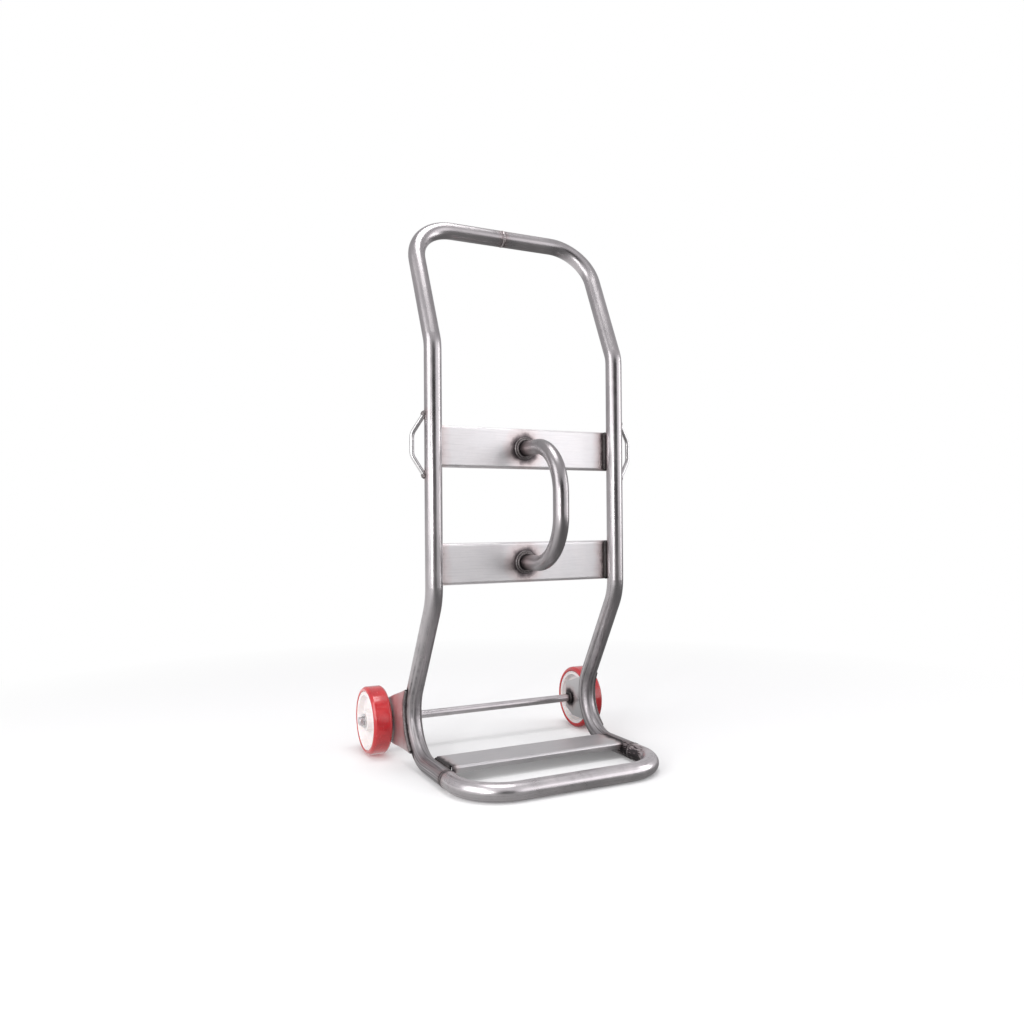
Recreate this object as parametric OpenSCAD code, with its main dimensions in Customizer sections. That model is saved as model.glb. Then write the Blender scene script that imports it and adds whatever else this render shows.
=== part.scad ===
// Stainless steel hand truck: a frame of bent round tube on two solid wheels.
// Millimetres. +Z up, +X to the right, the load stands on the -Y side. The wheels and the toe
// rest on z = 0, and the origin is under the middle of the whole object.

/* [Tube frame] */
// Outside diameter of the frame tube
tube_d = 30; // [28:1:33]
// Wall thickness of the frame tube
tube_wall = 2; // [1.5:0.5:3]
// Distance between the centre lines of the two rails
rail_spacing = 361.4; // [340:0.2:400]
// Height of the push bar's centre line
bar_z = 966; // [940:1:1040]
// Height at which the posts start to lean back
upper_bend_z = 735; // [715:1:760]
// Angle by which the tops of the rails lean back
lean = 24.5; // [20:0.5:28]
// Height at which the posts turn into the legs
lower_bend_z = 299; // [297:1:299]
// Angle between the legs and the vertical
leg_angle = 30.3; // [29.5:0.1:31]
// Reach of the toe bar's centre line in front of the posts
toe_reach = 159.5; // [150:0.5:190]
// Distance from the posts to the weld that joins toe and rail
seam_reach = 56; // [52:1:60]

/* [Bend radii] */
// Centre line radius of the two corners of the push bar
bar_corner_r = 77.5; // [60:0.5:90]
// Centre line radius where the posts start to lean
upper_bend_r = 50; // [45:1:80]
// Centre line radius where the posts turn into the legs
lower_bend_r = 85; // [60:1:85]
// Centre line radius of the heel
heel_r = 79; // [76:1:80]
// Centre line radius of the two corners of the toe
toe_corner_r = 77.5; // [60:0.5:85]

/* [Cross plates] */
// Width of each folded plate
plate_w = 72; // [60:1:72]
// Sheet thickness of the folded plates
plate_t = 2.5; // [2:0.5:3]
// Depth of the folded edges
flange = 12; // [9:1:14]
// Outside radius of the folds
fold_r = 5; // [4:0.5:6]
// Height of the middle of the upper plate
upper_plate_z = 562; // [540:1:600]
// Height of the middle of the lower plate
lower_plate_z = 359; // [359:1:380]
// How far each plate reaches past the centre line of its post
plate_lap = 5; // [2:1:8]
// Distance from the posts to the front edge of the toe plate
toe_plate_reach = 40; // [36:1:44]

/* [Grab handle] */
// Outside diameter of the grab handle's tube
grab_d = 27; // [22:1:28]
// Distance from the posts to the middle of the grip
grab_reach = 115.5; // [110:0.5:140]
// Centre line radius of the grab handle's bends
grab_bend_r = 83; // [60:1:84]

/* [Strap hooks] */
// Diameter of the strap hook's rod
hook_d = 8; // [6:1:9]
// Distance from the post's centre line to the middle of the rod
hook_out = 36; // [32:1:40]
// Straight length in the middle of the hook
hook_flat = 36; // [30:1:44]
// Angle by which the hook points backwards
hook_turn = 14; // [0:1:30]

/* [Wheels and axle] */
// Wheel diameter
wheel_d = 125; // [120:1:125]
// Width of the tread
wheel_w = 35; // [32:1:38]
// Thickness of the red tread
tread_t = 9; // [7:0.5:11]
// Diameter of the wheel's hub
hub_d = 38; // [34:1:42]
// Diameter of the axle
axle_d = 15; // [15:1:16]
// Distance between the middles of the two wheels
track = 448; // [448:1:456]
// How far the axle stands behind the posts
axle_set_back = 204; // [200:1:208]
// Sheet thickness of the wheel brackets
bracket_t = 4; // [3:0.5:4]
// Sideways step of each wheel bracket
bracket_step = 4; // [3:0.5:4]

/* [Hidden] */
$fn = 64;

left = -1;
right = 1;
tube_r = tube_d / 2;
half_spacing = rail_spacing / 2;
wheel_r = wheel_d / 2;

// The posts stand where the toe's front and the wheels' back are equally far from the origin.
post_y = (toe_reach + tube_r - axle_set_back - wheel_r) / 2;
bar_y = post_y + (bar_z - upper_bend_z) * tan(lean);
heel_y = post_y + (lower_bend_z - tube_r) * tan(leg_angle);
toe_y = post_y - toe_reach;
seam_y = post_y - seam_reach;
axle_y = post_y + axle_set_back;
axle_z = wheel_r;
grab_y = post_y - grab_reach;
toe_plate_y = post_y - toe_plate_reach;
plate_face_y = post_y + tube_r;

// Cutting shapes reach this far past what they cut
overcut = 1;
// Bends are drawn this much thinner than the straights, which run on into them a little way
thinning = 0.04;
overlap = 0.3;

// Weld beads
seam_bead = 3.5;
seam_crown = 0.7;
// The beads round the toe tube stay open underneath by this angle, clear of the floor
seam_open = 40;
// Middle of the bead beside each plate: inwards from the tube's centre line, and behind or
// below the plate's face
plate_bead_r = 6.5;
plate_bead_in = 12;
plate_bead_back = -2;
toe_bead_r = 7;
toe_bead_in = 11.25;
toe_bead_drop = 5.5;
grab_bead = 7.5;
hook_bead_r = 6.5;
bracket_bead_r = 3.5;
bracket_bead_in = 1;
bracket_bead_end = 3;
axle_bead = 6;

// Strap hooks
hook_bend_r = 22;
hook_slope = 32;
hook_root = 16;

// Wheel brackets, measured from the middle of the axle
bracket_rear = 18;
bracket_rear_top = 31;
bracket_corner = 4;
bracket_bottom = 34.5;
bracket_chamfer_y = 9;
bracket_chamfer_z = 20;
bracket_front_y = 112;
bracket_front_top = 74;
bracket_fold_y = 94;
bracket_fold_len = 38;

// Wheels, bearings and the ends of the axle
tread_round = 3;
core_inset = 0.8;
rim_t = 6.5;
web_half = 6;
core_slope = 2;
roller_d = 3.4;
roller_len = 28;
roller_count = 8;
roller_gap = 0.05;
cage_gap = 0.3;
cage_len = 33;
side_gap = 0.3;
washer_t = 2;
washer_d = 26;
washer_gap = 0.1;
pin_d = 3;
pin_gap = 0.2;
pin_from_washer = 3;
pin_reach = 8.5;
pin_eye_r = 2.4;
pin_wire_d = 1.6;
pin_leg = 4;
pin_leg_angle = 55;
axle_end = 6;
axle_chamfer = 1.2;

bracket_in_x = half_spacing + tube_r;
bracket_out_x = bracket_in_x + bracket_step + bracket_t;
hub_out_x = track / 2 + wheel_w / 2;
washer_out_x = hub_out_x + side_gap;
pin_x = washer_out_x + washer_t + pin_from_washer;
axle_half = pin_x + axle_end;
roller_pitch_r = axle_d / 2 + roller_gap + roller_d / 2;
hub_bore_r = roller_pitch_r + roller_d / 2 + roller_gap;

// ---- Bent tube and rod ----

// A bend table has one row for each straight stretch and the bend that follows it:
// [straight length, roll before the bend, bend angle, centre line radius].
// The last row has only its length. A bend turns the tube's +Z heading towards +X.

function set_back(angle, r) = r * tan(angle / 2);

// The same table with its first and last stretch made longer
function lengthened(table, more) = [
    for (i = [0:len(table) - 1])
        [
            table[i][0] + (i == 0 || i == len(table) - 1 ? more : 0),
            for (k = [1:1:len(table[i]) - 1]) table[i][k]
        ]
];

// Bend that starts at the origin along +Z and turns towards +X
module bend(angle, r, d) {
    translate([r, 0, 0])
        rotate([90, 0, 180])
            rotate_extrude(angle = angle)
                translate([r, 0])
                    circle(d = d - thinning);
}

// Round rod from the origin along +Z, bent as the table says
module bent_rod(table, d, i = 0) {
    row = table[i];
    after_bend = i == 0 ? 0 : overlap;
    before_bend = i == len(table) - 1 ? 0 : overlap;
    translate([0, 0, -after_bend])
        cylinder(h = row[0] + after_bend + before_bend, d = d);
    if (i < len(table) - 1)
        translate([0, 0, row[0]])
            rotate([0, 0, row[1]]) {
                bend(row[2], row[3], d);
                translate([row[3], 0, 0])
                    rotate([0, row[2], 0])
                        translate([-row[3], 0, 0])
                            bent_rod(table, d, i + 1);
            }
}

module bent_tube(table, d, wall) {
    difference() {
        bent_rod(table, d);
        translate([0, 0, -overcut])
            bent_rod(lengthened(table, overcut), d - 2 * wall);
    }
}

// Turns a shape made along Z so that it lies along X or along Y
module along_x() {
    rotate([0, 90, 0]) children();
}

module along_y() {
    rotate([-90, 0, 0]) children();
}

// Low ring of weld around a tube that lies along Z
module seam_ring(d, angle = 360) {
    rotate_extrude(angle = angle)
        intersection() {
            translate([d / 2 + seam_crown - seam_bead, 0]) circle(r = seam_bead);
            translate([d / 2, -seam_bead]) square(2 * seam_bead);
        }
}

// Quarter-round fillet of weld around a rod that stands on a flat face at z = 0
module fillet_ring(d, size) {
    rotate_extrude()
        translate([d / 2, 0])
            intersection() {
                circle(r = size);
                square(size);
            }
}

// ---- Rails and toe ----

// From the middle of the push bar out to the corner, down to the heel and forward to the toe
rail_table = [
    [half_spacing - bar_corner_r, -lean, 90, bar_corner_r],
    [(bar_z - upper_bend_z) / cos(lean) - bar_corner_r - set_back(lean, upper_bend_r),
        90, lean, upper_bend_r],
    [upper_bend_z - lower_bend_z - set_back(lean, upper_bend_r) - set_back(leg_angle, lower_bend_r),
        0, leg_angle, lower_bend_r],
    [(lower_bend_z - tube_r) / cos(leg_angle) - set_back(leg_angle, lower_bend_r)
        - set_back(90 + leg_angle, heel_r),
        180, 90 + leg_angle, heel_r],
    [heel_y - seam_y - set_back(90 + leg_angle, heel_r)]
];

toe_table = [
    [seam_y - toe_y - toe_corner_r, 0, 90, toe_corner_r],
    [rail_spacing - 2 * toe_corner_r, 0, 90, toe_corner_r],
    [seam_y - toe_y - toe_corner_r]
];

// Middle of the heel's round bend, seen from the side
heel_mid_y = heel_y - set_back(90 + leg_angle, heel_r);
heel_mid_z = tube_r + heel_r;

module rail() {
    translate([0, bar_y, bar_z])
        along_x()
            bent_tube(rail_table, tube_d, tube_wall);
}

module right_rail() {
    color("silver") rail();
}

module left_rail() {
    color("silver") mirror([1, 0, 0]) rail();
}

module toe_loop() {
    color("silver")
        translate([-half_spacing, seam_y, tube_r])
            rotate([90, 0, 0])
                bent_tube(toe_table, tube_d, tube_wall);
}

module push_bar_weld() {
    color("dimgray")
        translate([0, bar_y, bar_z])
            along_x()
                seam_ring(tube_d);
}

module toe_welds() {
    color("dimgray")
        for (side = [left, right])
            translate([side * half_spacing, seam_y, tube_r])
                along_y()
                    rotate([0, 0, 90 + seam_open / 2])
                        seam_ring(tube_d, 360 - seam_open);
}

// ---- Cross plates ----

// Channel section: the web stands along Y at x = 0, the folded edges run towards +X
module channel_outline(w, depth, r) {
    translate([0, r]) square([depth, w - 2 * r]);
    translate([r, 0]) square([depth - r, w]);
    translate([r, r]) circle(r = r);
    translate([r, w - r]) circle(r = r);
}

// Channel along X, with its web facing -Y and its lower edge at z = 0
module channel(length) {
    rotate([90, 0, 90])
        linear_extrude(length, center = true)
            difference() {
                channel_outline(plate_w, flange, fold_r);
                translate([plate_t, plate_t])
                    channel_outline(plate_w - 2 * plate_t, flange, fold_r - plate_t);
            }
}

module cross_plate(mid_z) {
    translate([0, plate_face_y, mid_z - plate_w / 2])
        channel(rail_spacing + 2 * plate_lap);
}

module upper_cross_plate() {
    color("gainsboro") cross_plate(upper_plate_z);
}

module lower_cross_plate() {
    color("gainsboro") cross_plate(lower_plate_z);
}

module toe_plate() {
    color("gainsboro")
        translate([0, toe_plate_y, tube_d])
            rotate([-90, 0, 0])
                channel(rail_spacing - tube_d);
}

// Upright beads in the grooves between the posts and the plates' front faces
module cross_plate_welds() {
    color("dimgray")
        for (side = [left, right], mid_z = [upper_plate_z, lower_plate_z])
            intersection() {
                difference() {
                    translate([side * (half_spacing - plate_bead_in), plate_face_y + plate_bead_back,
                        mid_z])
                        cylinder(h = plate_w, r = plate_bead_r, center = true);
                    translate([side * half_spacing, post_y, mid_z])
                        cylinder(h = plate_w + 2 * overcut, r = tube_r, center = true);
                }
                translate([side * (half_spacing - tube_r), plate_face_y - tube_r, mid_z])
                    cube([tube_d, tube_d, plate_w + 2 * overcut], center = true);
            }
}

// Level beads in the grooves between the toe tubes and the ends of the toe plate, clear of its top
module toe_plate_welds() {
    color("dimgray")
        for (side = [left, right])
            difference() {
                translate([side * (half_spacing - toe_bead_in), toe_plate_y + fold_r,
                    tube_d - toe_bead_drop])
                    along_y()
                        cylinder(h = plate_w - 2 * fold_r, r = toe_bead_r);
                translate([side * half_spacing, toe_plate_y, tube_r])
                    along_y()
                        cylinder(h = plate_w, r = tube_r);
                translate([0, toe_plate_y, tube_d])
                    rotate([-90, 0, 0])
                        translate([0, 0, plate_w / 2])
                            cube([rail_spacing - tube_d, 3 * flange, plate_w], center = true);
            }
}

// ---- Grab handle ----

grab_table = [
    [plate_face_y - grab_y - grab_bend_r, 0, 90, grab_bend_r],
    [upper_plate_z - lower_plate_z - 2 * grab_bend_r, 0, 90, grab_bend_r],
    [plate_face_y - grab_y - grab_bend_r]
];

// The bends turn towards +X, so the handle is made sideways and then stood on end
module grab_handle() {
    color("silver")
        translate([0, plate_face_y, upper_plate_z])
            rotate([0, 90, 0])
                rotate([90, 0, 0])
                    bent_tube(grab_table, grab_d, tube_wall);
}

module grab_handle_welds() {
    color("dimgray")
        for (z = [upper_plate_z, lower_plate_z])
            translate([0, plate_face_y, z])
                rotate([90, 0, 0])
                    fillet_ring(grab_d, grab_bead);
}

// ---- Strap hooks ----

// The rod leaves the post at a slope, runs straight up and slopes back in
hook_foot = (hook_out - tube_r) / sin(hook_slope) + hook_root;
hook_table = [
    [hook_foot - set_back(hook_slope, hook_bend_r), 180, hook_slope, hook_bend_r],
    [hook_flat - 2 * set_back(hook_slope, hook_bend_r), 0, hook_slope, hook_bend_r],
    [hook_foot - set_back(hook_slope, hook_bend_r)]
];
// Height of each foot above or below the middle of the hook, where it meets the post
hook_foot_z = hook_flat / 2 + (hook_out - tube_r) / tan(hook_slope);

module at_hook(side) {
    translate([side * half_spacing, post_y, upper_plate_z])
        mirror([side < 0 ? 1 : 0, 0, 0])
            rotate([0, 0, hook_turn])
                children();
}

module post_core() {
    cylinder(h = 6 * hook_foot_z, r = tube_r, center = true);
}

module hook_rod() {
    translate([hook_out, 0, -hook_flat / 2])
        rotate([0, hook_slope, 0])
            translate([0, 0, -hook_foot])
                bent_rod(hook_table, hook_d);
}

module strap_hook(side) {
    at_hook(side)
        difference() {
            hook_rod();
            post_core();
        }
}

module left_strap_hook() {
    color("silver") strap_hook(left);
}

module right_strap_hook() {
    color("silver") strap_hook(right);
}

module strap_hook_welds() {
    color("dimgray")
        for (side = [left, right], end = [-1, 1])
            at_hook(side)
                difference() {
                    translate([tube_r, 0, end * hook_foot_z])
                        sphere(r = hook_bead_r);
                    post_core();
                    hook_rod();
                }
}

// ---- Wheel brackets ----

// Side outline with the middle of the axle at 0,0; x points back and y points up
module bracket_outline() {
    polygon([
        [-bracket_front_y, bracket_front_top],
        [bracket_rear - bracket_corner, bracket_rear_top],
        [bracket_rear, bracket_rear_top - bracket_corner],
        [bracket_rear, -bracket_chamfer_z],
        [-bracket_chamfer_y, -bracket_bottom],
        [-bracket_front_y - tube_d, -bracket_bottom]
    ]);
}

// Plan of the folded sheet: flat along the tube, then stepped outwards towards the wheel
module bracket_plan() {
    fold_start = axle_y - bracket_fold_y;
    fold_end = fold_start + bracket_fold_len;
    x0 = bracket_in_x;
    x1 = bracket_in_x + bracket_step;
    polygon([
        [x0, post_y], [x0, fold_start], [x1, fold_end], [x1, axle_y + wheel_r],
        [x1 + bracket_t, axle_y + wheel_r], [x1 + bracket_t, fold_end],
        [x0 + bracket_t, fold_start], [x0 + bracket_t, post_y]
    ]);
}

module wheel_bracket() {
    difference() {
        intersection() {
            linear_extrude(2 * wheel_d) bracket_plan();
            translate([bracket_in_x - overcut, axle_y, axle_z])
                rotate([90, 0, 90])
                    linear_extrude(bracket_step + bracket_t + 2 * overcut) bracket_outline();
        }
        translate([bracket_in_x - overcut, heel_mid_y, heel_mid_z])
            along_x()
                cylinder(h = bracket_step + bracket_t + 2 * overcut, r = heel_r);
        translate([0, axle_y, axle_z])
            along_x()
                cylinder(h = 2 * half_spacing, d = axle_d);
    }
}

module right_wheel_bracket() {
    color("gainsboro") wheel_bracket();
}

module left_wheel_bracket() {
    color("gainsboro") mirror([1, 0, 0]) wheel_bracket();
}

// Bead that follows the heel's bend along the front edge of the right bracket. Its section is
// drawn with the distance from the middle of the bend as x, and the world's X as -y.
module bracket_bead() {
    below = asin((heel_mid_z - axle_z + bracket_bottom) / heel_r) - bracket_bead_end;
    translate([0, heel_mid_y, heel_mid_z])
        rotate([0, 90, 0])
            rotate([0, 0, 90 - below])
                rotate_extrude(angle = below + leg_angle)
                    difference() {
                        intersection() {
                            translate([heel_r - bracket_bead_in, bracket_in_x + bracket_t / 2])
                                circle(r = bracket_bead_r);
                            translate([0, half_spacing])
                                square([heel_r, tube_d]);
                        }
                        translate([heel_r, half_spacing]) circle(r = tube_r);
                    }
}

module bracket_welds() {
    color("dimgray") {
        bracket_bead();
        mirror([1, 0, 0]) bracket_bead();
    }
}

// ---- Axle ----

module at_axle() {
    translate([0, axle_y, axle_z]) children();
}

module axle() {
    color("silver")
        at_axle()
            difference() {
                along_x()
                    rotate_extrude()
                        polygon([
                            [0, -axle_half], [axle_d / 2 - axle_chamfer, -axle_half],
                            [axle_d / 2, axle_chamfer - axle_half],
                            [axle_d / 2, axle_half - axle_chamfer],
                            [axle_d / 2 - axle_chamfer, axle_half], [0, axle_half]
                        ]);
                for (side = [left, right])
                    translate([side * pin_x, 0, 0])
                        cylinder(h = 2 * axle_d, d = pin_d + 2 * pin_gap, center = true);
            }
}

module axle_welds() {
    color("dimgray")
        at_axle()
            for (side = [left, right])
                mirror([side < 0 ? 1 : 0, 0, 0])
                    translate([bracket_in_x + bracket_step, 0, 0])
                        rotate([0, -90, 0])
                            fillet_ring(axle_d, axle_bead);
}

module washer() {
    rotate_extrude()
        translate([axle_d / 2 + washer_gap, 0])
            square([(washer_d - axle_d) / 2 - washer_gap, washer_t]);
}

// One washer on each side of each hub
module axle_washers() {
    color("silver")
        at_axle()
            for (side = [left, right], x = [bracket_out_x, washer_out_x])
                mirror([side < 0 ? 1 : 0, 0, 0])
                    translate([x, 0, 0])
                        along_x()
                            washer();
}

// Split pin along Z: an eye on top, and two legs spread apart below
module split_pin() {
    cylinder(h = 2 * pin_reach, d = pin_d, center = true);
    translate([0, 0, pin_reach + pin_eye_r - pin_wire_d / 4])
        along_x()
            rotate_extrude()
                translate([pin_eye_r, 0])
                    circle(d = pin_wire_d);
    for (way = [-1, 1])
        translate([0, 0, -pin_reach + pin_wire_d / 4])
            rotate([way * pin_leg_angle, 0, 0])
                translate([0, 0, -pin_leg])
                    cylinder(h = pin_leg, d = pin_wire_d);
}

module split_pins() {
    color("silver")
        at_axle()
            for (side = [left, right])
                translate([side * pin_x, 0, 0])
                    split_pin();
}

// ---- Wheels ----

module at_wheel(side) {
    translate([side * track / 2, axle_y, axle_z])
        along_x()
            children();
}

module tread_outline() {
    tread_in_r = wheel_r - tread_t;
    translate([tread_in_r, -wheel_w / 2])
        square([tread_t - tread_round, wheel_w]);
    translate([tread_in_r, tread_round - wheel_w / 2])
        square([tread_t, wheel_w - 2 * tread_round]);
    for (end = [-1, 1])
        translate([wheel_r - tread_round, end * (wheel_w / 2 - tread_round)])
            circle(r = tread_round);
}

module tread(side) {
    at_wheel(side)
        rotate_extrude($fn = 96)
            tread_outline();
}

// Half of the core's section, from the bore out to the tread
function core_half(way) = [
    [hub_bore_r, way * wheel_w / 2],
    [hub_d / 2, way * wheel_w / 2],
    [hub_d / 2 + core_slope, way * web_half],
    [wheel_r - tread_t - rim_t - core_slope, way * web_half],
    [wheel_r - tread_t - rim_t, way * (wheel_w / 2 - core_inset)],
    [wheel_r - tread_t, way * (wheel_w / 2 - core_inset)]
];

module wheel_core(side) {
    lower = core_half(-1);
    upper = core_half(1);
    at_wheel(side)
        rotate_extrude($fn = 96)
            polygon([each lower, for (i = [len(upper) - 1:-1:0]) upper[i]]);
}

module left_tread() {
    color("firebrick") tread(left);
}

module right_tread() {
    color("firebrick") tread(right);
}

module left_wheel_core() {
    color("ivory") wheel_core(left);
}

module right_wheel_core() {
    color("ivory") wheel_core(right);
}

// ---- Roller bearings ----

module each_roller() {
    for (i = [0:roller_count - 1])
        rotate([0, 0, i * 360 / roller_count])
            translate([roller_pitch_r, 0, 0])
                children();
}

module roller_cage(side) {
    at_wheel(side)
        difference() {
            cylinder(h = cage_len, r = hub_bore_r - cage_gap, center = true);
            cylinder(h = cage_len + 2, r = axle_d / 2 + cage_gap, center = true);
            each_roller()
                cube([2 * roller_d, roller_d + 2 * roller_gap, roller_len + 2 * roller_gap],
                    center = true);
        }
}

module roller_set(side) {
    at_wheel(side)
        each_roller()
            cylinder(h = roller_len, d = roller_d, center = true, $fn = 32);
}

module left_roller_cage() {
    color("white") roller_cage(left);
}

module right_roller_cage() {
    color("white") roller_cage(right);
}

module left_rollers() {
    color("silver") roller_set(left);
}

module right_rollers() {
    color("silver") roller_set(right);
}

left_rail();
right_rail();
toe_loop();
push_bar_weld();
toe_welds();
upper_cross_plate();
lower_cross_plate();
toe_plate();
cross_plate_welds();
toe_plate_welds();
grab_handle();
grab_handle_welds();
left_strap_hook();
right_strap_hook();
strap_hook_welds();
left_wheel_bracket();
right_wheel_bracket();
bracket_welds();
axle();
axle_welds();
left_tread();
right_tread();
left_wheel_core();
right_wheel_core();
left_roller_cage();
right_roller_cage();
left_rollers();
right_rollers();
axle_washers();
split_pins();
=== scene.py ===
"""Looks, camera and light for the stainless hand truck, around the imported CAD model.

Everything is in metres in the CAD frame: +Z up, +X to the right, the load stands on the -Y side.
"""

import math

import bmesh
import bpy
import numpy as np
from mathutils import Matrix, Vector, noise


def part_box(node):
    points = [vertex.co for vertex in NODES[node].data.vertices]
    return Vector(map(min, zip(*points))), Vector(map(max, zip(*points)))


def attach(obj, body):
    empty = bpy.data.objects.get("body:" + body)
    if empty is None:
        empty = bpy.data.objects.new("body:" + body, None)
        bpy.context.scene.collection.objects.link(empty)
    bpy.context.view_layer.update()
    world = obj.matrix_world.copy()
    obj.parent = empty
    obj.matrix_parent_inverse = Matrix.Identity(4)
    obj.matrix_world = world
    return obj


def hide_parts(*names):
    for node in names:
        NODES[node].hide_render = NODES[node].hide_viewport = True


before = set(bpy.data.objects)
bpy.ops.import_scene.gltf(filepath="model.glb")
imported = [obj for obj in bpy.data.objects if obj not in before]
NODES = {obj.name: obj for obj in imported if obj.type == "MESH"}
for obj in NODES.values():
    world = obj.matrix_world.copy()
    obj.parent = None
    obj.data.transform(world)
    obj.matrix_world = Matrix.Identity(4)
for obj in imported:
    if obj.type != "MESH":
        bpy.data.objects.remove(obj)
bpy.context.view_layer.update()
MM = 0.001
X, Y, Z = Vector((1, 0, 0)), Vector((0, 1, 0)), Vector((0, 0, 1))
FULL_TURN = 2 * math.pi
QUARTER_TURN = math.pi / 2
SIDES = (-1, 1)
SIDE_NAMES = ((-1, "left"), (1, "right"))
WHITE = (1, 1, 1, 1)

# ---- Places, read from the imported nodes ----


def middle(node):
    low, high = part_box(node)
    return (low + high) / 2


def extent(node, axis):
    """How far a node reaches along an axis, where 0 is X, 1 is Y and 2 is Z."""
    low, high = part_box(node)
    return high[axis] - low[axis]


TOE_LOW, TOE_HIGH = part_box("toe_loop")
TUBE_R = extent("toe_loop", 2) / 2
HALF_SPACING = TOE_HIGH.x - TUBE_R
SEAM_Y = TOE_HIGH.y
TOE_Y = TOE_LOW.y + TUBE_R
PLATE_FACE_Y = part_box("upper_cross_plate")[0].y
POST_Y = PLATE_FACE_Y - TUBE_R
PLATE_W = extent("upper_cross_plate", 2)
UPPER_Z = middle("upper_cross_plate").z
LOWER_Z = middle("lower_cross_plate").z
TOE_PLATE_LOW, TOE_PLATE_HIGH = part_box("toe_plate")
BAR = middle("push_bar_weld")
AXLE = middle("axle")
AXLE_LOW, AXLE_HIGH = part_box("axle")
AXLE_R = extent("axle", 2) / 2
WHEEL_R = extent("left_tread", 2) / 2
WHEEL_HALF_W = extent("left_tread", 0) / 2
TRACK_HALF = middle("right_tread").x
BRACKET_IN_X = HALF_SPACING + TUBE_R
BRACKET_OUT_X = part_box("right_wheel_bracket")[1].x
GRAB_FRONT_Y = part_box("grab_handle")[0].y
GRAB_R = extent("grab_handle", 0) / 2

# Bends of the tubes and hooks, as the CAD has them
LEAN = math.radians(24.5)
LEG = math.radians(30.3)
BAR_CORNER_R = 77.5 * MM
UPPER_BEND_R = 50 * MM
LOWER_BEND_R = 85 * MM
HEEL_R = 79 * MM
TOE_CORNER_R = 77.5 * MM
GRAB_BEND_R = 83 * MM
UPPER_BEND_Z = 735 * MM
LOWER_BEND_Z = 299 * MM
HOOK_OUT = 36 * MM
HOOK_FLAT = 36 * MM
HOOK_SLOPE = math.radians(32)
HOOK_TURN = math.radians(14)


def set_back(angle, radius):
    """How far before the corner of its centre lines a bend starts."""
    return radius * math.tan(angle / 2)


HEEL_TURN = QUARTER_TURN + LEG
HEEL_Y = POST_Y + (LOWER_BEND_Z - TUBE_R) * math.tan(LEG)
HEEL_MID = Vector((0, HEEL_Y - set_back(HEEL_TURN, HEEL_R), TUBE_R + HEEL_R))

# ---- Centre lines and the grain that follows them ----

LINE_STEP = 2.5 * MM
VERTEX_BATCH = 2000


def centre_line(table, place):
    """Points along a bent tube. A row is (straight length, roll, bend angle, bend radius)."""
    points, at = [], place
    for row in table:
        length = row[0]
        count = max(1, math.ceil(length / LINE_STEP))
        points += [at @ Vector((0, 0, length * i / count)) for i in range(count + 1)]
        if len(row) == 1:
            break
        roll, angle, radius = row[1:]
        at = at @ Matrix.Translation((0, 0, length)) @ Matrix.Rotation(roll, 4, "Z")
        count = max(2, math.ceil(angle * radius / LINE_STEP))
        for i in range(1, count):
            a = angle * i / count
            points.append(at @ Vector((radius * (1 - math.cos(a)), 0, radius * math.sin(a))))
        at = at @ Matrix.Translation((radius, 0, 0)) @ Matrix.Rotation(angle, 4, "Y")
        at = at @ Matrix.Translation((-radius, 0, 0))
    kept = [points[0]]
    for point in points[1:]:
        if (point - kept[-1]).length > LINE_STEP / 50:
            kept.append(point)
    return kept


def frames(points):
    """A tangent and two normals that don't turn about it, at each point of a line."""
    last = len(points) - 1
    tangents = []
    for i in range(last + 1):
        step = points[min(i + 1, last)] - points[max(i - 1, 0)]
        tangents.append(step.normalized())
    side = tangents[0].orthogonal().normalized()
    made = []
    for i, tangent in enumerate(tangents):
        if i:
            side = (tangents[i - 1].rotation_difference(tangent) @ side).normalized()
        made.append((tangent, side, tangent.cross(side).normalized()))
    return made


def add_grain(node, points):
    """A UV map on a CAD tube, in metres: u runs along its centre line and v round it."""
    mesh = NODES[node].data
    line = np.array(points, float)
    axes = np.array([[list(v) for v in f] for f in frames(points)])
    along = np.concatenate([[0], np.cumsum(np.linalg.norm(np.diff(line, axis=0), axis=1))])
    co = np.zeros(len(mesh.vertices) * 3)
    mesh.vertices.foreach_get("co", co)
    co = co.reshape(-1, 3)
    near = np.zeros(len(co), int)
    for first in range(0, len(co), VERTEX_BATCH):
        part = co[first : first + VERTEX_BATCH]
        gap = ((part[:, None, :] - line[None]) ** 2).sum(2)
        near[first : first + VERTEX_BATCH] = gap.argmin(1)
    out = co - line[near]
    u = along[near] + (out * axes[near, 0]).sum(1)
    turn = np.arctan2((out * axes[near, 2]).sum(1), (out * axes[near, 1]).sum(1))
    layer = mesh.uv_layers.new(name="grain")
    values = np.zeros((len(mesh.loops), 2))
    for polygon in mesh.polygons:
        loops = list(polygon.loop_indices)
        ids = [mesh.loops[i].vertex_index for i in loops]
        angles = turn[ids]
        if angles.max() - angles.min() > math.pi:
            angles = np.where(angles < 0, angles + FULL_TURN, angles)
        values[loops, 0] = u[ids]
        values[loops, 1] = angles * TUBE_R
    layer.data.foreach_set("uv", values.ravel())


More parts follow.
